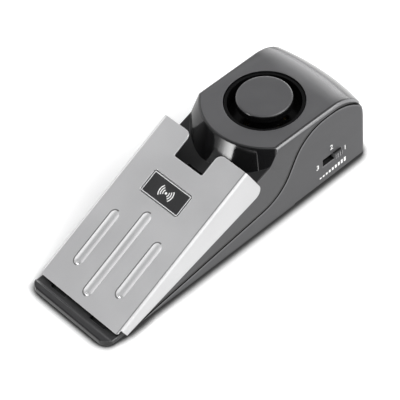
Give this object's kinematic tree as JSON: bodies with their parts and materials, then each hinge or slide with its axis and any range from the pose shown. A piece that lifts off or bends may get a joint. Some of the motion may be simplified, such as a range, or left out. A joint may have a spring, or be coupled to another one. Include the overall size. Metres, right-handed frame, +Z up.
{
  "type": "door stop alarm",
  "caption": "Wedge shaped door stop alarm with a hinged pressure plate over a sprung trigger, a round siren in its head and slide switches in its cheeks.",
  "frame": {"origin": "on the floor plane under the middle of the part's bounding box", "axes": "X across the part, +Y from the toe to the head, +Z up from the floor"},
  "size_m": [0.047, 0.1438, 0.042],
  "materials": {
    "housing": "dark grey moulded plastic with a fine even texture",
    "plate": "pressed steel sheet with satin silver paint",
    "label": "printed dark film with a bare silver rim",
    "gloss_black": "polished black moulding",
    "cap": "dark grey moulding with a smooth sheen",
    "knob": "dark grey acetal",
    "rubber": "soft black rubber",
    "brass": "rolled brass sheet",
    "ceramic": "fired silver paint on ceramic",
    "cell": "steel can in a plain printed wrap",
    "snap": "black fibre and vinyl",
    "foam": "open cell foam",
    "board": "green solder mask on glass fibre board",
    "chip": "black moulding compound",
    "winding": "enamelled copper wire",
    "sleeve": "dark blue shrink sleeve over an aluminium can",
    "tin": "tinned steel",
    "beige": "lacquered carbon film resistor",
    "zinc": "zinc plated steel",
    "wire_red": "red vinyl insulation",
    "wire_black": "black vinyl insulation",
    "wire_grey": "grey ribbon cable"
  },
  "bodies": {
    "housing": {"top_housing": "housing", "base_housing": "housing", "siren_cap": "cap", "sound_cup": "gloss_black", "piezo_disc": "brass", "piezo_ceramic": "ceramic", "piezo_retainer": "gloss_black", "trigger_spring": "zinc", "tact_switch": "chip", "main_board": "board", "alarm_chip": "chip", "boost_coil": "winding", "capacitor": "sleeve", "transistor": "chip", "vibration_sensor": "tin", "resistor_1": "beige", "resistor_2": "beige", "resistor_3": "beige", "resistor_4": "beige", "board_screw_1": "zinc", "board_screw_2": "zinc", "battery": "cell", "battery_snap": "snap", "battery_foam": "foam", "battery_lead_red": "wire_red", "battery_lead_black": "wire_black", "piezo_lead_red": "wire_red", "piezo_lead_black": "wire_black", "sensitivity_switch": "tin", "sensitivity_ribbon": "wire_grey", "power_switch": "tin", "power_ribbon": "wire_grey", "housing_screw_1": "zinc", "housing_screw_2": "zinc", "housing_screw_3": "zinc", "housing_screw_4": "zinc", "bumper_left": "rubber", "bumper_right": "rubber", "front_pad": "rubber", "rear_pad_left": "rubber", "rear_pad_right": "rubber"},
    "plate": {"pressure_plate": "plate", "plate_label": "label"},
    "plunger": {"trigger_plunger": "gloss_black"},
    "tact": {"tact_button": "chip"},
    "sensitivity": {"sensitivity_knob": "knob"},
    "power": {"power_knob": "knob"},
    "door": {"battery_door": "housing"}
  },
  "joints": [
    {"name": "plate_press", "type": "hinge", "parent": "housing", "child": "plate", "pos_m": [0, -0.06595, 0.0029], "axis": [-1, 0, 0], "range_deg": [0, 5], "stiffness_Nm_per_rad": 0.3, "springref_deg": -5.73},
    {"name": "plunger_slide", "type": "slide", "parent": "housing", "child": "plunger", "axis": [0, 0, -1], "range_m": [0, 0.00516], "stiffness_N_per_m": 90, "springref_m": -0.006, "deforming": ["trigger_spring"]},
    {"name": "tact_press", "type": "slide", "parent": "housing", "child": "tact", "axis": [0, 0, -1], "range_m": [0, 0.00025], "stiffness_N_per_m": 10, "springref_m": -0.001},
    {"name": "sensitivity_slide", "type": "slide", "parent": "housing", "child": "sensitivity", "axis": [0, -1, 0], "range_m": [0, 0.0058]},
    {"name": "power_slide", "type": "slide", "parent": "housing", "child": "power", "axis": [0, -1, 0], "range_m": [0, 0.0058]},
    {"name": "battery_door_slide", "type": "slide", "parent": "housing", "child": "door", "axis": [0, 1, 0], "range_m": [0, 0.055]}
  ],
  "couplings": [
    {"joint": "plunger_slide", "follows": "plate_press", "m_per_rad": 0.059071},
    {"joint": "tact_press", "follows": "plate_press", "m_per_rad": 0.00286}
  ]
}
